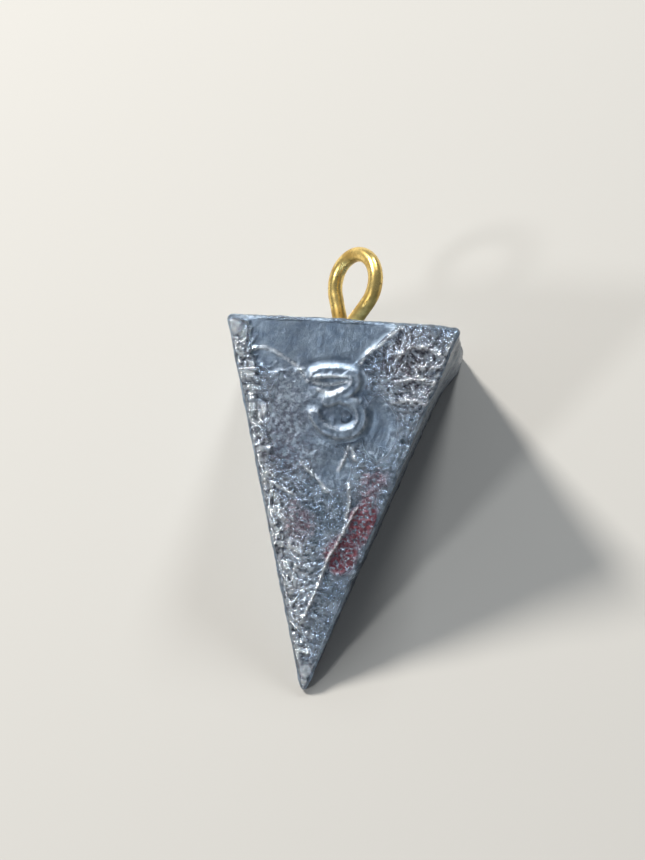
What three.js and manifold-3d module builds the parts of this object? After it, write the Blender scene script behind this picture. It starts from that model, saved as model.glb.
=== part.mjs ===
// Pyramid fishing sinker: a cast lead pyramid with a bent brass wire eye in its base.
// Millimetres, +Z up. It lies on one side face, with the tip toward -Y and the eye toward +Y.
import * as THREE from 'three';
import { ConvexGeometry } from 'three/addons/geometries/ConvexGeometry.js';
import { mergeVertices } from 'three/addons/utils/BufferGeometryUtils.js';
import Module from 'manifold-3d';

const wasm = await Module();
wasm.setup();

// Lead pyramid, measured to its sharp edges
const baseSide = 23.9;
const sharpHeight = 39.55;
const baseTilt = THREE.MathUtils.degToRad(3.2); // the poured base slopes a little
const edgeRadius = 0.5;
const tipRadius = 0.41;
const leadDensity = 11.34; // grams in a cubic centimetre

// Weight numeral 3, cast raised on the top side face. Each stroke's points are millimetres
// across the face from its middle, and down the face from the base's sharp edge.
const strokeRadius = 0.62;
const strokeRise = 0.42;
const numeralStrokes = [
  [[-2.1, 5.9], [-1.3, 5.4], [0.4, 5.22], [1.6, 5.25], [2.2, 5.85], [1.95, 6.7], [1.25, 7.4],
    [0.4, 8.0], [-0.5, 8.4]],
  [[1.1, 8.0], [2.1, 8.2], [2.9, 8.9], [3.2, 9.9], [2.9, 10.85], [2.1, 11.5], [0.8, 11.75],
    [-0.4, 11.45], [-1.25, 10.8], [-1.75, 10.0]],
];

// Trimmed stub of the pouring gate, low on the base beside the eye
const gateRadius = 2.2;
const gateRise = 0.5;
const gateDistance = 9.2; // from the axis, in the parting plane

// Brass wire eye, drawn in the mould's parting plane, which runs corner to corner
const wireDiameter = 1.6;
const wireClearance = 0.3; // between the wire and the lead cast round it
const partingAngle = THREE.MathUtils.degToRad(45);
const loopRadius = 3.32; // to the middle of the wire
const loopLean = THREE.MathUtils.degToRad(8.3);
const crossingAcross = -0.91; // where the legs cross, in the parting plane
const crossingHeight = -1.52; // below the middle of the base
const crossingToLoop = 6.95; // from the crossing to the loop's centre
const crossingOffset = 1.0; // each leg's shift out of the plane as it passes the other
const tailLength = 4.8; // straight part below the crossing
const hookRadius = 1.9;
const hookTurn = THREE.MathUtils.degToRad(75);

const halfAngle = Math.atan(baseSide / 2 / sharpHeight);
const legAngle = Math.asin(loopRadius / crossingToLoop);
const legLength = crossingToLoop * Math.cos(legAngle);
const halfArc = loopRadius * (Math.PI / 2 + legAngle);
const halfLoop = halfArc + legLength; // from the loop's top to the crossing
const halfWire = halfLoop + tailLength + hookRadius * hookTurn;

function toSolid(geometry) {
  const bare = geometry.clone();
  bare.deleteAttribute('normal');
  bare.deleteAttribute('uv');
  const joined = mergeVertices(bare, 1e-5);
  return new wasm.Manifold(new wasm.Mesh({
    numProp: 3,
    vertProperties: new Float32Array(joined.attributes.position.array),
    triVerts: new Uint32Array(joined.index.array),
  }));
}

function toGeometry(solid) {
  const mesh = solid.getMesh();
  const geometry = new THREE.BufferGeometry();
  geometry.setAttribute('position', new THREE.BufferAttribute(new Float32Array(mesh.vertProperties), 3));
  geometry.setIndex(new THREE.BufferAttribute(new Uint32Array(mesh.triVerts), 1));
  geometry.computeVertexNormals();
  return geometry;
}

// The pyramid is the hull of five small balls that touch its sharp planes from inside,
// so every edge, corner and the tip is rounded as the worn casting is.
function pyramidGeometry() {
  const points = [];
  const addBall = (x, y, z, radius) => {
    const ball = new THREE.SphereGeometry(radius, 28, 18);
    ball.rotateX(halfAngle);
    const position = ball.attributes.position;
    for (let i = 0; i < position.count; i += 1) {
      const point = new THREE.Vector3().fromBufferAttribute(position, i);
      points.push(point.add(new THREE.Vector3(x, y, z)));
    }
  };
  const spread = Math.tan(halfAngle);
  const slope = Math.tan(baseTilt);
  const innerApex = sharpHeight - edgeRadius / Math.sin(halfAngle);
  const inset = edgeRadius / Math.cos(baseTilt);
  for (const sideX of [-1, 1]) {
    const reach = (innerApex - inset) * spread / (1 - sideX * slope * spread);
    for (const sideZ of [-1, 1]) {
      addBall(sideX * reach, sideX * reach * slope - inset, sideZ * reach, edgeRadius);
    }
  }
  addBall(0, tipRadius / Math.sin(halfAngle) - sharpHeight, 0, tipRadius);
  return new ConvexGeometry(points);
}

function inPartingPlane(across, up, out) {
  const cos = Math.cos(partingAngle);
  const sin = Math.sin(partingAngle);
  return new THREE.Vector3(across * cos - out * sin, up, across * sin + out * cos);
}

// Point on the wire at a distance from the loop's top: arc, straight leg, straight tail, hook.
function wirePoint(distance) {
  const side = distance < 0 ? -1 : 1;
  const along = Math.abs(distance);
  const centreAcross = crossingAcross + crossingToLoop * Math.sin(loopLean);
  const centreUp = crossingHeight + crossingToLoop * Math.cos(loopLean);
  if (along <= halfArc) {
    const angle = loopLean + side * along / loopRadius;
    const out = side * crossingOffset * (along / halfLoop) ** 3;
    return inPartingPlane(
      centreAcross + loopRadius * Math.sin(angle), centreUp + loopRadius * Math.cos(angle), out);
  }
  const heading = loopLean + side * legAngle;
  const below = along - halfLoop;
  const straight = Math.min(below, tailLength);
  let across = crossingAcross - straight * Math.sin(heading);
  let up = crossingHeight - straight * Math.cos(heading);
  if (below > tailLength) {
    const turned = Math.min((below - tailLength) / hookRadius, hookTurn);
    const past = below - tailLength - turned * hookRadius;
    // The hook turns away from the other tail and back toward the base.
    const end = heading + side * turned;
    across += side * hookRadius * (Math.cos(end) - Math.cos(heading)) - past * Math.sin(end);
    up -= side * hookRadius * (Math.sin(end) - Math.sin(heading)) + past * Math.cos(end);
  }
  const share = Math.min(along / halfLoop, 1) ** 3;
  const settle = below > 0 ? 0.2 * (1 - Math.exp(-below)) : 0;
  return inPartingPlane(across, up, side * (crossingOffset * share + settle));
}

function tubeAlong(from, to, radius, sides, step) {
  const count = Math.round((to - from) / step);
  const points = [];
  for (let i = 0; i <= count; i += 1) {
    points.push(wirePoint(from + (to - from) * i / count));
  }
  const path = new THREE.CatmullRomCurve3(points, false, 'centripetal');
  const outline = new THREE.Shape();
  for (let i = 0; i < sides; i += 1) {
    const angle = 2 * Math.PI * i / sides;
    const x = radius * Math.cos(angle);
    const y = radius * Math.sin(angle);
    if (i === 0) outline.moveTo(x, y);
    else outline.lineTo(x, y);
  }
  outline.closePath();
  return new THREE.ExtrudeGeometry(outline, {
    steps: count,
    curveSegments: sides,
    bevelEnabled: false,
    extrudePath: path,
  });
}

function gateGeometry() {
  const sunk = 1.5;
  const stub = new THREE.CylinderGeometry(gateRadius * 0.88, gateRadius, gateRise + sunk, 36);
  stub.translate(0, (gateRise - sunk) / 2, 0);
  stub.rotateZ(baseTilt);
  const centre = inPartingPlane(-gateDistance, 0, 0);
  stub.translate(centre.x, centre.x * Math.tan(baseTilt), centre.z);
  return stub;
}

// A point on the top side face, sunk below it by the given depth
function onTopFace(across, down, depth) {
  const y = -down * Math.cos(halfAngle);
  const z = (sharpHeight + y) * Math.tan(halfAngle);
  return new THREE.Vector3(
    across, y + depth * Math.sin(halfAngle), z - depth * Math.cos(halfAngle));
}

// One stroke of the numeral: a round bar with rounded ends, sunk until only its crown stands out.
function strokeSolid(points) {
  const depth = strokeRadius - strokeRise;
  const stations = points.map(([across, down]) => onTopFace(across, down, depth));
  const path = new THREE.CatmullRomCurve3(stations, false, 'centripetal');
  const outline = new THREE.Shape();
  outline.absarc(0, 0, strokeRadius, 0, 2 * Math.PI, false);
  const bar = new THREE.ExtrudeGeometry(outline, {
    steps: 34,
    curveSegments: 8,
    bevelEnabled: false,
    extrudePath: path,
  });
  let stroke = toSolid(bar);
  for (const end of [stations[0], stations[stations.length - 1]]) {
    const ball = new THREE.SphereGeometry(strokeRadius * 0.995, 16, 10);
    ball.translate(end.x, end.y, end.z);
    stroke = stroke.add(toSolid(ball));
  }
  return stroke;
}

function leadSolid() {
  const socketRadius = wireDiameter / 2 + wireClearance;
  const deep = halfWire + wireClearance;
  const high = halfLoop - 5;
  let lead = toSolid(pyramidGeometry()).add(toSolid(gateGeometry()));
  for (const points of numeralStrokes) lead = lead.add(strokeSolid(points));
  lead = lead.subtract(toSolid(tubeAlong(-deep, -high, socketRadius, 18, 0.35)));
  lead = lead.subtract(toSolid(tubeAlong(high, deep, socketRadius, 18, 0.35)));
  return lead;
}

const lead = leadSolid();
const leadGeometry = toGeometry(lead);
const eyeSolid = toSolid(tubeAlong(-halfWire, halfWire, wireDiameter / 2, 20, 0.3));
const eyeGeometry = toGeometry(eyeSolid);

// Least distance between the wire's two halves, where they pass each other in the lead
let leastGap = Infinity;
for (let i = 0; i <= 120; i += 1) {
  for (let j = 0; j <= 120; j += 1) {
    const left = wirePoint(-3 - (halfWire - 3) * i / 120);
    const right = wirePoint(3 + (halfWire - 3) * j / 120);
    leastGap = Math.min(leastGap, left.distanceTo(right) - wireDiameter);
  }
}

// Lay the casting on its lower side face and put the origin under the middle of the whole.
for (const geometry of [leadGeometry, eyeGeometry]) geometry.rotateX(halfAngle);
leadGeometry.computeBoundingBox();
eyeGeometry.computeBoundingBox();
const box = leadGeometry.boundingBox.clone().union(eyeGeometry.boundingBox);
const middle = box.getCenter(new THREE.Vector3());
const shift = new THREE.Vector3(-middle.x, -middle.y, -box.min.z);

const group = new THREE.Group();
group.name = 'pyramid_sinker';

const leadMaterial = new THREE.MeshStandardMaterial({ color: 0x7f8890, roughness: 0.5, metalness: 0.85 });
const leadMesh = new THREE.Mesh(leadGeometry, leadMaterial);
leadMesh.name = 'lead_body';
leadMesh.position.copy(shift);
group.add(leadMesh);

const brassMaterial = new THREE.MeshStandardMaterial({ color: 0xb8943c, roughness: 0.3, metalness: 0.95 });
const eyeMesh = new THREE.Mesh(eyeGeometry, brassMaterial);
eyeMesh.name = 'brass_eye';
eyeMesh.position.copy(shift);
group.add(eyeMesh);

const size = box.getSize(new THREE.Vector3());
const grams = lead.volume() / 1000 * leadDensity;
console.log('size', size.x.toFixed(3), size.y.toFixed(3), size.z.toFixed(3));
console.log('shift', shift.x.toFixed(4), shift.y.toFixed(4), shift.z.toFixed(4));
console.log('lead volume', lead.volume().toFixed(1), 'mm3, mass', grams.toFixed(1), 'g');
console.log('brass volume', eyeSolid.volume().toFixed(2), 'mm3');
console.log('facets', lead.numTri(), eyeSolid.numTri(), 'least wire gap', leastGap.toFixed(3));

export default group;
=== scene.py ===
import math
import bpy
import numpy as np
from mathutils import Euler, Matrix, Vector


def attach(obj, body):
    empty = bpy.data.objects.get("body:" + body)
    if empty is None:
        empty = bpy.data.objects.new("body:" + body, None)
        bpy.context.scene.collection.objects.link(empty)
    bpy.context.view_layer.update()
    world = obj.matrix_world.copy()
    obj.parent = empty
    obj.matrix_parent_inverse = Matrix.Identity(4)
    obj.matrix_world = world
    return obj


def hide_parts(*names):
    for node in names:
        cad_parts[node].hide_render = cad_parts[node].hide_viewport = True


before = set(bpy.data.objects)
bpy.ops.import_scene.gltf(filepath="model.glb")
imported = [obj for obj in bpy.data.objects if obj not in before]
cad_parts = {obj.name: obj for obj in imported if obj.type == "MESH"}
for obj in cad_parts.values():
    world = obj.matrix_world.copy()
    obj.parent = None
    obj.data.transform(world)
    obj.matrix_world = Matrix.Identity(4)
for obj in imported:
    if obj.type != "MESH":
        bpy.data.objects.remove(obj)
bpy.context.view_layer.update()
scene = bpy.context.scene
mm = 0.001


# From 0 at low to 1 at high, level at both ends: t squared times (3 - 2 t)
def smooth(low, high, value):
    t = np.clip((value - low) / (high - low), 0, 1)
    return t * t * (3 - 2 * t)


# 1 at the middle and 0 far from it: e to the minus ((value - middle) / width) to the power
def bell(value, middle, width, power=2):
    return np.exp(-((value - middle) / width) ** power)


# Smooth noise around 0: sine waves of about this size in random directions, summed and
# divided by the root of their count
def waves(points, size, seed, count=18):
    draw = np.random.default_rng(seed)
    ways = draw.normal(size=(count, points.shape[-1]))
    ways /= np.linalg.norm(ways, axis=1)[:, None]
    pace = 2 * np.pi / size * draw.uniform(0.7, 1.5, count)
    phases = draw.uniform(0, 6.28, count)
    total = np.zeros(points.shape[:-1])
    for way, rate, phase in zip(ways, pace, phases):
        total += np.sin(points @ way * rate + phase)
    return total / math.sqrt(count)


# A vector over its own length
def unit(vectors):
    return vectors / np.linalg.norm(vectors, axis=-1, keepdims=True)


# A polyline made a curve: each round cuts its corners at a quarter of each side
def curve(points, rounds=3):
    line = np.array(points, float)
    for _ in range(rounds):
        near = line[:-1] * 0.75 + line[1:] * 0.25
        far = line[:-1] * 0.25 + line[1:] * 0.75
        middle = np.stack([near, far], axis=1).reshape(-1, 2)
        line = np.concatenate([line[:1], middle, line[-1:]])
    return line


# The distance from each place to the curve through points, the least over its short sides
def away(places, points):
    line = curve(points)
    nearest = np.full(places.shape[:-1], 1e9)
    for start, end in zip(line[:-1], line[1:]):
        run = end - start
        t = np.clip(((places - start) @ run) / max(run @ run, 1e-9), 0, 1)
        gap = np.linalg.norm(places - (start + t[..., None] * run), axis=-1)
        nearest = np.minimum(nearest, gap)
    return nearest


# A ridge along a curve: the bell of the distance to it
def ridge(places, points, width):
    return bell(away(places, points), 0, width)


# A closed mesh from a grid of rings, with a fan to a pole in the middle of each end ring
def meshFrom(name, grid):
    rings, around = grid.shape[:2]
    row, step = np.meshgrid(np.arange(rings - 1), np.arange(around), indexing="ij")
    following = (step + 1) % around
    quads = np.stack([row * around + step, row * around + following,
                      (row + 1) * around + following, (row + 1) * around + step], -1)
    poles = np.stack([grid[0].mean(0), grid[-1].mean(0)])
    points = np.concatenate([grid.reshape(-1, 3), poles])
    step = np.arange(around)
    following = (step + 1) % around
    firstPole, lastPole = rings * around, rings * around + 1
    lastRing = (rings - 1) * around
    firstFan = np.stack([np.full(around, firstPole), following, step], -1)
    lastFan = np.stack([np.full(around, lastPole), lastRing + step, lastRing + following], -1)
    faces = quads.reshape(-1, 4).tolist() + firstFan.tolist() + lastFan.tolist()
    mesh = bpy.data.meshes.new(name)
    mesh.from_pydata(points.tolist(), [], faces)
    mesh.update()
    mesh.polygons.foreach_set("use_smooth", np.ones(len(mesh.polygons), bool))
    piece = bpy.data.objects.new(name, mesh)
    scene.collection.objects.link(piece)
    return piece


# Stores one number for each vertex, with the mean of each end ring for its pole
def paintOn(piece, name, values):
    poles = [values[0].mean(keepdims=True), values[-1].mean(keepdims=True)]
    numbers = np.concatenate([values.reshape(-1), *poles])
    layer = piece.data.attributes.new(name, "FLOAT", "POINT")
    layer.data.foreach_set("value", numbers.astype(np.float32))


# A shader value that takes +, - and * and adds the Math nodes for them
class Sock:
    def __init__(self, tree, out):
        self.tree = tree
        self.out = out

    def join(self, kind, other, swap=False):
        node = self.tree.nodes.new("ShaderNodeMath")
        node.operation = kind
        pair = (other, self) if swap else (self, other)
        for slot, value in zip(node.inputs, pair):
            if isinstance(value, Sock):
                self.tree.links.new(value.out, slot)
            else:
                slot.default_value = value
        return Sock(self.tree, node.outputs[0])

    def __add__(self, other):
        return self.join("ADD", other)

    def __radd__(self, other):
        return self.join("ADD", other)

    def __sub__(self, other):
        return self.join("SUBTRACT", other)

    def __rsub__(self, other):
        return self.join("SUBTRACT", other, swap=True)

    def __mul__(self, other):
        return self.join("MULTIPLY", other)

    def __rmul__(self, other):
        return self.join("MULTIPLY", other)

    def atMost(self, other):
        return self.join("MINIMUM", other)


# One material's node tree, with short calls for the nodes that it uses
class Finish:
    def __init__(self, name):
        self.mat = bpy.data.materials.new(name)
        self.mat.use_nodes = True
        self.tree = self.mat.node_tree
        self.shader = self.tree.nodes["Principled BSDF"]
        self.place = self.node("ShaderNodeTexCoord", {}, out="Object")

    def put(self, slot, value):
        if isinstance(value, Sock):
            self.tree.links.new(value.out, slot)
        else:
            slot.default_value = value

    def node(self, kind, inputs, settings=None, out=0):
        node = self.tree.nodes.new(kind)
        for key, value in (settings or {}).items():
            setattr(node, key, value)
        for key, value in inputs.items():
            self.put(node.inputs[key], value)
        return Sock(self.tree, node.outputs[out])

    def noise(self, scale, detail=4, rough=0.55):
        return self.node("ShaderNodeTexNoise",
                         {"Vector": self.place, "Scale": scale, "Detail": detail, "Roughness": rough})

    def cells(self, scale):
        return self.node("ShaderNodeTexVoronoi", {"Vector": self.place, "Scale": scale}, out="Distance")

    def stored(self, name):
        return self.node("ShaderNodeAttribute", {}, {"attribute_name": name}, out=2)  # output 2 is the factor

    def span(self, value, low, high):
        return self.node("ShaderNodeMapRange", {"Value": value, "From Min": low, "From Max": high},
                         {"interpolation_type": "SMOOTHSTEP"})

    # Colour a where share is 0 and colour b where it is 1; sockets 6 and 7 are a mix's two colours
    def blend(self, share, a, b):
        a, b = [colour if isinstance(colour, Sock) else (*colour, 1) for colour in (a, b)]
        return self.node("ShaderNodeMix", {0: share, 6: a, 7: b}, {"data_type": "RGBA"}, out=2)

    def bump(self, height, strength, distance):
        return self.node("ShaderNodeBump", {"Height": height, "Strength": strength, "Distance": distance})

    def done(self, inputs):
        for key, value in inputs.items():
            self.put(self.shader.inputs[key], value)
        return self.mat


print("stage: lead")
casting = {
    # the solid, as in the CAD model, in millimetres and degrees
    "side": 23.9,
    "height": 39.55,  # to the sharp apex
    "baseTilt": 3.2,
    "edge": 0.5,  # radius of the rounded edges
    "tip": 0.41,  # radius of the blunt tip
    "shift": (-0.1905, 13.8786, 11.4384),
    "gateDistance": 9.2,  # from the middle of the base to the trimmed gate
    "legFeet": ((-1.45, -0.85), (0.2, 0.85)),  # where the wire's legs enter, in and out of its plane
    # grid lines over the top, right, under and left faces, and round each corner edge
    "gridAcross": (170, 48, 16, 28),
    "gridCorner": 5,
    "gridUp": 260,
    "gridBase": 34,
    # relief, in millimetres
    "numeral": 0.44,
    "numeralRim": 0.07,
    "foldWidth": 0.16,
    "wrinkle": 0.3,
    "wrinkleWidth": 0.28,
    "innerFold": 0.14,
    "leftWear": 0.12,
    "pits": 0.055,
    "flash": 0.16,
    "nicks": 0.22,
    "cornerBulge": 0.85,
    "meniscus": 0.3,
    "gateStub": 0.5,
    "baseCrown": 0.42,
    # waves in the skin: the size, height and seed of each
    "wander": ((2.2, 0.5, 3), (0.9, 0.3, 4)),  # moves the borders of the marks
    "topGrain": ((1.3, 0.045, 5), (0.62, 0.035, 6)),
    "rightGrain": ((2.5, 0.05, 9), (0.8, 0.03, 10)),
    "otherGrain": ((2.0, 0.03, 11), (0.7, 0.02, 12)),
    "baseGrain": ((2.6, 0.05, 14), (0.7, 0.02, 15)),
    # colours
    "blueGrey": (0.22, 0.29, 0.38),
    "paleGrey": (0.42, 0.51, 0.61),
    # colour of the painted shade in the grain's hollows
    "grainShade": (0.07, 0.08, 0.105),
    "mottle": (0.15, 0.20, 0.26),
    "tarnish": (0.10, 0.07, 0.10),
    # colour of the painted shade on the right-hand side face
    "sideFaceShade": (0.10, 0.12, 0.15),
    "glint": (0.93, 0.97, 1.0),
    "redPaint": (0.20, 0.028, 0.04),
}
halfAngle = math.atan(casting["side"] / 2 / casting["height"])
cosA, sinA = math.cos(halfAngle), math.sin(halfAngle)
tilt = math.radians(casting["baseTilt"])
root2 = math.sqrt(2)


# Turned about X by half the apex angle onto the face the casting lies on, shifted, in metres
def toPart(points):
    x, y, z = points[..., 0], points[..., 1], points[..., 2]
    turned = np.stack([x, y * cosA - z * sinA, y * sinA + z * cosA], axis=-1)
    return (turned + np.array(casting["shift"])) * mm


# Casting skin. Each point is Q(u, v) + r(v) N(u, v): Q runs on an inner pyramid from the tip
# (v = 0) to the base (v = 1), N is the face's normal and fans round the edges, r is the rounding.
inset = casting["edge"] / math.cos(tilt)
innerApex = casting["height"] - casting["edge"] / sinA
tanA, slope = sinA / cosA, math.tan(tilt)
topFace, rightFace, underFace, leftFace = [np.array(normal) for normal in (
    (0, -sinA, cosA), (cosA, -sinA, 0), (0, -sinA, -cosA), (-cosA, -sinA, 0))]
faceNormals = [topFace, rightFace, underFace, leftFace]
baseNormal = np.array([-math.sin(tilt), math.cos(tilt), 0])
tipAt = np.array([0, casting["tip"] / sinA - casting["height"], 0])
baseMiddle = np.array([0, -inset, 0])


# A corner of the inner pyramid's tilted base: sideX and sideZ are -1 or 1
def baseCorner(sideX, sideZ):
    reach = (innerApex - inset) * tanA / (1 - sideX * slope * tanA)
    return np.array([sideX * reach, sideX * reach * slope - inset, sideZ * reach])


# One turn round the inner base: straight along each face, then a fan of normals at each corner
def ringRound():
    corners = [baseCorner(-1, 1), baseCorner(1, 1), baseCorner(1, -1), baseCorner(-1, -1)]
    fan = casting["gridCorner"]
    places, normals = [], []
    for side, steps in enumerate(casting["gridAcross"]):
        start, end = corners[side], corners[(side + 1) % 4]
        here, following = faceNormals[side], faceNormals[(side + 1) % 4]
        t = np.linspace(0, 1, steps)[:, None]
        places.append(start + (end - start) * t)
        normals.append(np.tile(here, (steps, 1)))
        t = np.linspace(0, 1, fan + 2)[1:-1, None]
        places.append(np.tile(end, (fan, 1)))
        normals.append(unit(here * (1 - t) + following * t))
    return np.concatenate(places), np.concatenate(normals)


# The skin and its normals, ring by ring from the tip to the middle of the base
def skin():
    ring, ringNormal = ringRound()
    tipRing, baseRing = np.tile(tipAt, (len(ring), 1)), np.tile(baseNormal, (len(ring), 1))
    tip, edge = casting["tip"], casting["edge"]
    rows = []
    for t in np.linspace(0.1, 0.9, 5):  # round the tip
        rows.append((tipRing, unit(ringNormal * t + np.array([0, -1, 0]) * (1 - t)), tip))
    for v in np.linspace(0, 1, casting["gridUp"]):  # up the side faces
        rows.append((tipAt + (ring - tipAt) * v, ringNormal, tip + (edge - tip) * v))
    for t in np.linspace(0.2, 0.8, 4):  # round the base's rim
        rows.append((ring, unit(ringNormal * (1 - t) + baseNormal * t), edge))
    for v in np.linspace(0, 0.985, casting["gridBase"]):  # in to the middle of the base
        rows.append((ring + (baseMiddle - ring) * v, baseRing, edge))
    places, normals, radii = [np.array(values) for values in zip(*rows)]
    return places + normals * radii[:, None, None], normals


# The named waves on the skin, each by its height, added up
def ripples(name):
    return sum(high * waves(body, size, seed) for size, high, seed in casting[name])


body, normal = skin()
onTop = smooth(0.86, 0.98, normal @ topFace)
onRight = smooth(0.86, 0.98, normal @ rightFace)
onBase = smooth(0.9, 0.99, normal @ baseNormal)

# Places on the top face: millimetres across, and down from the base's sharp edge
flat = np.stack([body[..., 0], -body[..., 1] / cosA], -1)
acrossTop, downTop = flat[..., 0], flat[..., 1]
halfWidth = casting["side"] / 2 * (1 - downTop / (casting["height"] / cosA))
fromLeft, fromRight = acrossTop + halfWidth, halfWidth - acrossTop
wander = ripples("wander")

numeral = [  # the raised 3, in two strokes
    [(-2.1, 5.9), (-1.3, 5.4), (0.4, 5.22), (1.6, 5.25), (2.2, 5.85), (1.95, 6.7), (1.25, 7.4),
     (0.4, 8.0), (-0.5, 8.4)],
    [(1.1, 8.0), (2.1, 8.2), (2.9, 8.9), (3.2, 9.9), (2.9, 10.85), (2.1, 11.5), (0.8, 11.75),
     (-0.4, 11.45), (-1.25, 10.8), (-1.75, 10.0)],
]
flowFolds = {  # where the lead froze in folds as it ran in: height, strength of the painted highlight along the fold, and points
    "right": (0.17, 1.0, [(7.2, -0.4), (5.9, 0.3), (4.7, 1.5), (3.3, 2.7), (2.4, 4.2)]),
    "left": (0.14, 0.9, [(-9.9, 4.6), (-8.7, 3.9), (-7.3, 3.6), (-5.5, 4.4), (-3.9, 5.2), (-2.8, 6.6)]),
    "long": (0.26, 1.3, [(3.6, 19.5), (2.9, 21.1), (2.1, 23.0), (1.3, 24.9), (0.5, 27.9), (-0.2, 30.4),
                         (-1.0, 32.7)]),
    "short": (0.11, 0.8, [(2.5, 16.9), (2.75, 18.6), (2.6, 20.7)]),
    "slant": (0.11, 0.8, [(-2.6, 15.2), (-0.9, 16.7), (0.5, 18.1)]),
    "low": (0.11, 0.8, [(-6.2, 17.4), (-4.5, 18.2), (-3.0, 18.7)]),
    "under": (0.11, 0.8, [(2.4, 12.9), (2.8, 14.3)]),
    "fork": (0.11, 0.8, [(2.0, 12.8), (1.9, 14.2), (1.2, 15.6)]),
}
wrinkles = [  # worn folds beside the right edge
    [(6.1, 2.9), (7.4, 1.8), (9.2, 1.7), (10.9, 2.9)],
    [(8.2, 3.9), (9.7, 3.5), (11.0, 3.8)],
    [(6.2, 5.5), (8.3, 4.9), (10.4, 5.4)],
    [(6.0, 7.8), (8.0, 7.2), (9.9, 7.6)],
]
innerFolds = [  # inside the numeral's upper bowl
    [(-2.4, 6.0), (-0.6, 5.8), (1.5, 5.7)],
    [(-2.1, 6.7), (-0.4, 6.8), (1.2, 6.2)],
    [(-1.6, 7.4), (-0.3, 7.7), (0.8, 7.0)],
]
patches = {  # on the top face: across, down, half width, half height, squareness, strength
    "calmSide": (5.0, 10.5, 1.9, 3.6, 2, 1.3),
    "calmLow": (0.6, 15.5, 2.6, 3.0, 2, 0.9),
    "calmMiddle": (-2.4, 9.5, 4.6, 6.5, 4, 0.7),
    "roughCorner": (8.4, 4.4, 3.2, 4.2, 4, 1.0),
    "glitter": (-5.0, 9.0, 2.6, 4.5, 2, 0.3),
    "darkCorner": (7.4, 3.6, 3.4, 3.6, 2, 1.0),
    "darkLeft": (-4.4, 13.0, 3.0, 7.0, 2, 0.6),
    "paintUpper": (4.5, 20.9, 1.5, 2.0, 2, 0.95),
    "paintLower": (2.5, 24.8, 1.5, 1.9, 2, 1.0),
    "paintLeft": (-2.2, 22.0, 2.4, 3.6, 2, 0.36),
    "paintHigh": (5.2, 16.2, 2.2, 2.6, 2, 0.33),
}


# A soft patch: the bell across times the bell down, times its strength
def patch(name):
    across, down, wide, tall, power, strength = patches[name]
    return strength * bell(acrossTop, across, wide, power) * bell(downTop, down, tall, power)


# The numeral and the folds stand up from the top face
stroke = np.minimum(away(flat, numeral[0]), away(flat, numeral[1]))
lift = casting["numeral"] * smooth(0.95, 0.25, stroke) * (1 + 0.12 * wander)
lift += casting["numeralRim"] * (bell(stroke, 0.42, 0.16) - bell(stroke, 1.15, 0.25))
# Painted highlight along the folds' crests, kept apart from their height
foldHighlight = np.zeros_like(stroke)
broken = np.clip(0.95 + 0.45 * waves(body, 1.7, seed=51), 0.45, 1)  # short folds fade in and out
for name, (high, shine, points) in flowFolds.items():
    line = ridge(flat + wander[..., None] * 0.07, points, casting["foldWidth"])
    line = line if name == "long" else line * broken
    foldHighlight = np.maximum(foldHighlight, line * shine)
    lift += high * line
for points in wrinkles:
    line = ridge(flat + wander[..., None] * 0.12, points, casting["wrinkleWidth"])
    foldHighlight = np.maximum(foldHighlight, line * 0.6)
    lift += casting["wrinkle"] * line
for points in innerFolds:
    line = ridge(flat, points, casting["foldWidth"])
    foldHighlight = np.maximum(foldHighlight, line * 0.9)
    lift += casting["innerFold"] * line

# Calm lead cooled smooth and the rest froze rough. The calm top ends at the right-hand fold.
leftOfFold = np.sign(3.9 - acrossTop - (downTop - 2) * 0.9)
calmTop = smooth(-0.6, 0.6, away(flat, flowFolds["right"][2]) * leftOfFold)
calmTop *= smooth(6.4, 5.2, downTop + 0.5 * wander) * smooth(1.6, 2.8, fromLeft + 0.6 * wander)
roughCorner = patch("roughCorner")
calm = np.maximum.reduce([calmTop, patch("calmSide"), patch("calmLow"), patch("calmMiddle")])
calm = np.maximum(np.clip(calm, 0.25, 1), 0.8 * smooth(1.6, 0.7, stroke))
calm *= 1 - 0.95 * np.maximum(roughCorner, smooth(2.6, 1.2, fromLeft + 0.6 * wander))

# The left edge is worn down and pitted
edgeBand = smooth(2.6, 0.3, fromLeft + 1.1 * wander) * onTop
lift -= casting["leftWear"] * smooth(1.8, 0.2, fromLeft) * onTop
pits = np.abs(waves(body, 0.75, seed=61)) + np.abs(waves(body, 0.45, seed=62))
lift += casting["pits"] * pits * (edgeBand + 0.7 * roughCorner) * onTop

# Where the lead gets painted glints and highlights, where it is darker in patches and where it carries rubbed
# red paint
# Painted highlights: the left edge band, the upper right bevel, the right edge, the folds, the glitter
# patches, the rough corner and the numeral's rim are painted toward the glint colour
bevelHighlight = smooth(0.75, 0.35, fromRight) * smooth(0.3, 1.2, downTop) * smooth(7.0, 5.0, downTop)
glitter = patch("glitter") + bell(fromLeft, 2.4, 1.6) * bell(downTop, 26.0, 5.0)
paintedHighlight = edgeBand + bevelHighlight + 0.4 * smooth(0.5, 0.1, fromRight) + 0.9 * foldHighlight
paintedHighlight = np.clip(paintedHighlight + 0.7 * glitter + 0.45 * roughCorner, 0, 1)
paintedHighlight = (paintedHighlight + 0.45 * bell(stroke, 0.5, 0.16)) * onTop
dark = (patch("darkCorner") * (1 - calm) + patch("darkLeft")) * onTop
paint = patch("paintUpper") + patch("paintLower") + patch("paintLeft") + patch("paintHigh")
paint = np.clip(paint, 0, 1) * onTop

# The cast grain, strongest where the top face isn't calm
streaky = waves(body * np.array([1.0, 0.35, 1.0]), 1.1, seed=41)  # drawn out toward the tip
rough = ripples("topGrain") + np.abs(waves(body, 0.5, seed=8)) * 0.03 + np.abs(streaky) * 0.05
lift += rough * (1 - 0.85 * calm) + waves(body, 6.0, seed=7) * 0.05
lift *= onTop
onOthers = 1 - np.clip(onTop + onRight + onBase, 0, 1)
lift += onRight * ripples("rightGrain") + onOthers * ripples("otherGrain")

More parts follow.
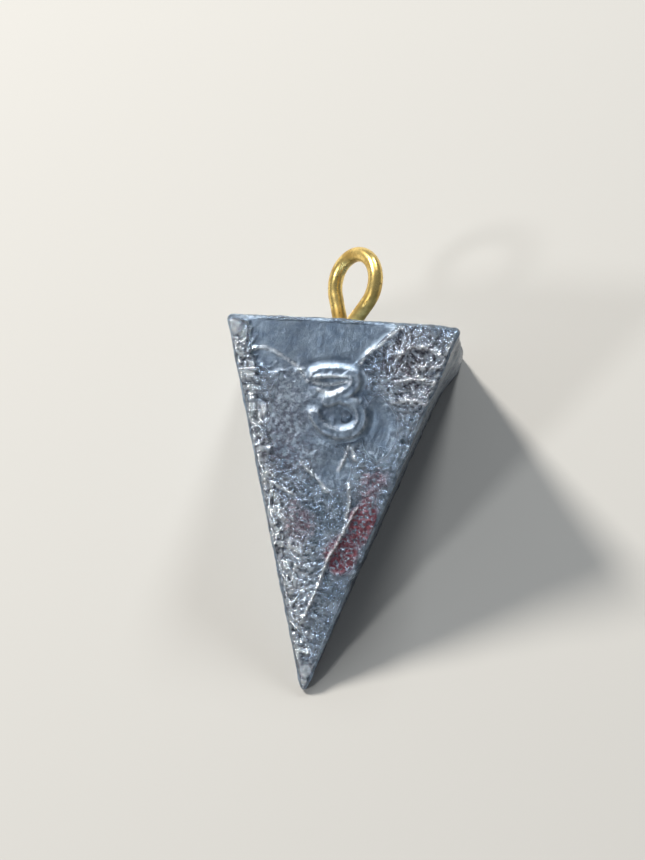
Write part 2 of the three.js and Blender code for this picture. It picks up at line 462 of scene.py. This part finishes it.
# Flash along the parting line, on the two corner edges that the wire's plane runs through
towardEdge = normal @ unit(topFace + rightFace)
flashAt = np.maximum(towardEdge, normal @ unit(underFace + leftFace))
ragged = 0.7 + 0.5 * waves(body, 3.0, seed=13)
lift += casting["flash"] * smooth(0.975, 0.995, flashAt) * (1 - onBase) * ragged
nicks = bell(downTop, 25.6, 0.35) + bell(downTop, 27.6, 0.4)
lift -= casting["nicks"] * nicks * smooth(0.6, 0.9, towardEdge)
bulge = bell(body[..., 1], -1.3, 2.4) * smooth(0.6, 0.95, normal @ unit(rightFace * 2 + underFace))
lift += casting["cornerBulge"] * bulge * smooth(7, -4, body[..., 2])

# The base: a meniscus where the wire enters, and the trimmed gate stub
alongPlane = (body[..., 0] + body[..., 2]) / root2
offPlane = (body[..., 2] - body[..., 0]) / root2
for footAlong, footOff in casting["legFeet"]:
    fromFoot = np.hypot(alongPlane - footAlong, offPlane - footOff)
    lift += onBase * casting["meniscus"] * bell(np.maximum(fromFoot - 0.8, 0), 0, 0.5)
fromGate = np.hypot(alongPlane + casting["gateDistance"], offPlane)
lift += onBase * casting["gateStub"] * smooth(2.3, 1.95, fromGate)
lift += onBase * ripples("baseGrain")

body = body + normal * lift[..., None]
crown = np.clip(1 - (body[..., 0] / 11.5) ** 2, 0, 1) * np.clip(1 - (body[..., 2] / 13.5) ** 4, 0.3, 1)
body[..., 1] += casting["baseCrown"] * crown * smooth(-2.5, -0.2, body[..., 1])
leadGrid = toPart(body)
leadGrid[..., 2] = np.maximum(leadGrid[..., 2], 0)  # nothing goes below the surface it lies on
lead = meshFrom("leadCasting", leadGrid)
calmElsewhere = 0.45 + 0.25 * waves(body, 6.0, seed=31) + 0.2 * onBase
paintOn(lead, "calm", np.clip(calm * onTop + calmElsewhere * (1 - onTop), 0, 1))
# the painted highlight mask
paintOn(lead, "paintedHighlight", paintedHighlight)
paintOn(lead, "dark", dark)
paintOn(lead, "paint", paint)
# the painted shade mask for the right-hand side face
paintOn(lead, "sideFaceShade", onRight)
# the painted highlight mask along the folds
paintOn(lead, "foldGlint", foldHighlight * onTop)


# Cast lead: a blue-grey skin, with painted shade in the grain's hollows and on the right-hand side face, and
# painted glints along its edges, folds and numeral
def leadFinish():
    m = Finish("castLead")
    grain = m.noise(2300, 5, 0.65)
    fine = m.noise(9000, 3, 0.6)
    crystal = m.cells(1500)
    patchy = m.noise(620, 4, 0.6)
    calmHere = m.stored("calm")
    highlightHere = m.stored("paintedHighlight")
    darkHere = m.stored("dark")
    roughHere = 1 - calmHere * 0.9
    tone = m.blend(m.span(patchy, 0.35, 0.68), casting["blueGrey"], casting["paleGrey"])
    # Painted shade: darker in the grain's low places, the hollows of the bump
    tone = m.blend(roughHere * m.span(grain, 0.54, 0.43) * 0.8, tone, casting["grainShade"])
    mottled = m.span(m.noise(1250, 3, 0.55), 0.40, 0.62)
    tone = m.blend(calmHere * mottled * 0.35, tone, casting["mottle"])
    tone = m.blend(darkHere * m.span(grain, 0.60, 0.44) * 0.75, tone, casting["tarnish"])
    # Painted shade: the right-hand side face darkened
    tone = m.blend(m.stored("sideFaceShade") * 0.7, tone, casting["sideFaceShade"])
    shine = m.span(grain * 0.6 + fine * 0.4, 0.44, 0.54)
    # Painted glints: the glint colour where the highlight mask and the grain's shine meet
    tone = m.blend((highlightHere * shine).atMost(1.0), tone, casting["glint"])
    flecks = m.span(m.noise(3000, 5, 0.7), 0.42, 0.53)
    painted = m.span(m.stored("paint") + patchy * 0.5 - 0.25, 0.16, 0.5)
    painted = (painted * flecks * 0.9).atMost(1.0)
    tone = m.blend(painted, tone, casting["redPaint"])
    # Painted highlight along the folds
    foldShine = (m.stored("foldGlint") * m.span(grain, 0.36, 0.52) * 0.65).atMost(0.8)
    tone = m.blend(foldShine, tone, casting["glint"])
    height = (grain * 0.9 + crystal * 0.7 + fine * 0.5) * roughHere + fine * 0.12
    roughness = 0.17 + calmHere * 0.2 - highlightHere * 0.04 + painted * 0.2 + darkHere * 0.05
    return m.done({"Base Color": tone, "Metallic": (1 - painted * 0.75) * 0.96,
                   "Roughness": roughness, "Normal": m.bump(height, 0.8, 0.0004)})


lead.data.materials.append(leadFinish())
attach(lead, "root")
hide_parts("lead_body")

print("stage: wire")
wire = {
    # sizes as in the CAD model, in millimetres and degrees
    "radius": 0.8,
    "loop": 3.32,  # radius of the loop's middle line
    "lean": 8.3,
    "crossing": (-0.91, -1.52),  # where the legs cross, across the base and up from it
    "toLoop": 6.95,  # from the crossing to the middle of the loop
    "offset": 1.0,  # of each leg out of the wire's plane at the crossing
    "tail": 4.8,
    "hook": 1.9,
    "hookTurn": 75,
    "gridAlong": 620,
    "gridAround": 48,
    # a pinch mark on the loop: its place along the wire, its depth and its width
    "pinchAt": -9.4,
    "pinch": 0.1,
    "pinchWidth": 0.45,
    # colours
    "gold": (0.97, 0.71, 0.25),
    "tarnish": (0.50, 0.31, 0.08),
    "specks": (0.07, 0.045, 0.02),
}
lean, hookTurn = math.radians(wire["lean"]), math.radians(wire["hookTurn"])
legAngle = math.asin(wire["loop"] / wire["toLoop"])
halfArc = wire["loop"] * (math.pi / 2 + legAngle)
halfLoop = halfArc + wire["toLoop"] * math.cos(legAngle)
halfWire = halfLoop + wire["tail"] + wire["hook"] * hookTurn
outward = np.array([1, 0, 1]) / root2  # along the wire's plane
aside = np.array([-1, 0, 1]) / root2  # square to it


# The wire's middle line at each distance from the top of the loop: an arc, two straight legs that
# cross, straight tails and hooks. Each leg drifts out of the plane by the cube of its way along.
def middleLine(distance):
    sign, along = np.sign(distance), np.abs(distance)
    crossAcross, crossUp = wire["crossing"]
    angle = lean + sign * along / wire["loop"]
    arcAcross = crossAcross + wire["toLoop"] * math.sin(lean) + wire["loop"] * np.sin(angle)
    arcUp = crossUp + wire["toLoop"] * math.cos(lean) + wire["loop"] * np.cos(angle)
    heading = lean + sign * legAngle
    below = along - halfLoop
    straight = np.minimum(below, wire["tail"])
    end = heading + sign * np.clip((below - wire["tail"]) / wire["hook"], 0, hookTurn)
    hook = sign * wire["hook"]
    legAcross = crossAcross - straight * np.sin(heading) + hook * (np.cos(end) - np.cos(heading))
    legUp = crossUp - straight * np.cos(heading) - hook * (np.sin(end) - np.sin(heading))
    onArc = along <= halfArc
    across = np.where(onArc, arcAcross, legAcross)
    up = np.where(onArc, arcUp, legUp)
    drift = wire["offset"] * np.minimum(along / halfLoop, 1) ** 3
    drift = sign * (drift + 0.2 * (1 - np.exp(-np.maximum(below, 0))))
    return across[:, None] * outward + drift[:, None] * aside + up[:, None] * np.array([0, 1, 0])


# The tube is the middle line w(d) plus r(d, a) (side cos a + top sin a), with hand-bent dents in r
distance = np.linspace(-halfWire, halfWire, wire["gridAlong"])
path = middleLine(distance)
run = unit(np.gradient(path, axis=0))
side = unit(np.cross(run, aside))
top = np.cross(side, run)
turn = np.linspace(0, 2 * np.pi, wire["gridAround"], endpoint=False)[None, :, None]
spoke = side[:, None] * np.cos(turn) + top[:, None] * np.sin(turn)
tube = path[:, None] + spoke * wire["radius"]
pinchAt = path[np.argmin(np.abs(distance - wire["pinchAt"]))] + np.array([0.55, 0, 0.55])
fromPinch = np.linalg.norm(tube - pinchAt, axis=-1)
dents = 0.007 * waves(tube, 2.2, seed=21) + 0.003 * waves(tube, 0.6, seed=22)
dents -= wire["pinch"] * bell(fromPinch, 0, wire["pinchWidth"])
tube = path[:, None] + spoke * (wire["radius"] + dents)[..., None]
eye = meshFrom("brassEye", toPart(tube))


# Brass wire: bright gold, tarnished brown in clouds, with dark specks and faint drawn streaks
def brassFinish():
    m = Finish("brassWire")
    tarnish = m.span(m.noise(420, 5, 0.6), 0.42, 0.62)
    specks = m.span(m.noise(2600, 3, 0.6), 0.62, 0.70)
    streaks = m.noise(1400, 3, 0.5)
    tone = m.blend(tarnish * 0.8, wire["gold"], wire["tarnish"])
    tone = m.blend(specks * 0.85, tone, wire["specks"])
    bumps = m.bump(streaks * 0.7 + tarnish * 0.3, 0.12, 0.00008)
    return m.done({"Base Color": tone, "Metallic": 0.97,
                   "Roughness": 0.27 + tarnish * 0.14 + specks * 0.2, "Normal": bumps})


eye.data.materials.append(brassFinish())
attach(eye, "root")
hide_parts("brass_eye")

print("stage: light and camera")
stage = {
    "floorReach": 0.45,
    "floorDrop": 0.00002,  # keeps the floor off the face that lies on it
    "floorColour": (0.55, 0.525, 0.48, 1),
    "backdrop": (0.72, 0.71, 0.68, 1),
    "roomColour": (0.80, 0.88, 1.0, 1),
    "roomStrength": 0.2,
    "aim": (0, 0, 0.01),
    # each lamp's place, width, power in watts and colour
    "lamps": {
        "windowLeft": ((-0.42, 0.34, 0.46), 0.13, 6.2, (1.0, 0.98, 0.95)),
        "skyAhead": ((0.10, 0.62, 0.50), 0.18, 2.8, (0.88, 0.94, 1.0)),
        "fill": ((-0.46, -0.34, 0.46), 0.10, 1.6, (0.92, 0.96, 1.0)),
    },
    "cameraAt": (0.011998, -0.053556, 0.171126),
    "cameraTurn": (19.7719, 1.9168, 8.0853),  # degrees about X, Y and Z
    "lens": 67.177,
    "sensor": 36,
    "clipStart": 0.005,
}


def addFloor():
    reach = stage["floorReach"]
    corners = [(-reach, -reach, 0), (reach, -reach, 0), (reach, reach, 0), (-reach, reach, 0)]
    mesh = bpy.data.meshes.new("floor")
    mesh.from_pydata(corners, [], [(0, 1, 2, 3)])
    floor = bpy.data.objects.new("floor", mesh)
    floor.location.z = -stage["floorDrop"]
    scene.collection.objects.link(floor)
    mesh.materials.append(Finish("palePaper").done({"Base Color": stage["floorColour"], "Roughness": 0.9}))


# The room lights the object dimly, and the camera sees the pale backdrop past the floor
def addRoom():
    world = bpy.data.worlds.new("room")
    scene.world = world
    world.use_nodes = True
    nodes, links = world.node_tree.nodes, world.node_tree.links
    room = nodes["Background"]
    room.inputs["Color"].default_value = stage["roomColour"]
    room.inputs["Strength"].default_value = stage["roomStrength"]
    backdrop = nodes.new("ShaderNodeBackground")
    backdrop.inputs["Color"].default_value = stage["backdrop"]
    rays = nodes.new("ShaderNodeLightPath")
    either = nodes.new("ShaderNodeMixShader")
    links.new(rays.outputs["Is Camera Ray"], either.inputs[0])
    links.new(room.outputs[0], either.inputs[1])
    links.new(backdrop.outputs[0], either.inputs[2])
    links.new(either.outputs[0], nodes["World Output"].inputs[0])


def addLamp(name, at, size, power, colour):
    light = bpy.data.lights.new(name, "AREA")
    light.shape = "DISK"
    light.size = size
    light.energy = power
    light.color = colour
    lamp = bpy.data.objects.new(name, light)
    lamp.location = at
    lamp.rotation_euler = (Vector(stage["aim"]) - Vector(at)).to_track_quat("-Z", "Y").to_euler()
    scene.collection.objects.link(lamp)


def addCamera():
    lens = bpy.data.cameras.new("camera")
    lens.lens = stage["lens"]
    lens.sensor_width = stage["sensor"]
    lens.clip_start = stage["clipStart"]
    camera = bpy.data.objects.new("camera", lens)
    camera.location = stage["cameraAt"]
    camera.rotation_euler = Euler([math.radians(turn) for turn in stage["cameraTurn"]], "XYZ")
    scene.collection.objects.link(camera)
    scene.camera = camera


addFloor()
addRoom()
for name, settings in stage["lamps"].items():
    addLamp(name, *settings)
addCamera()
scene.view_settings.view_transform = "Standard"

print("stage: done")
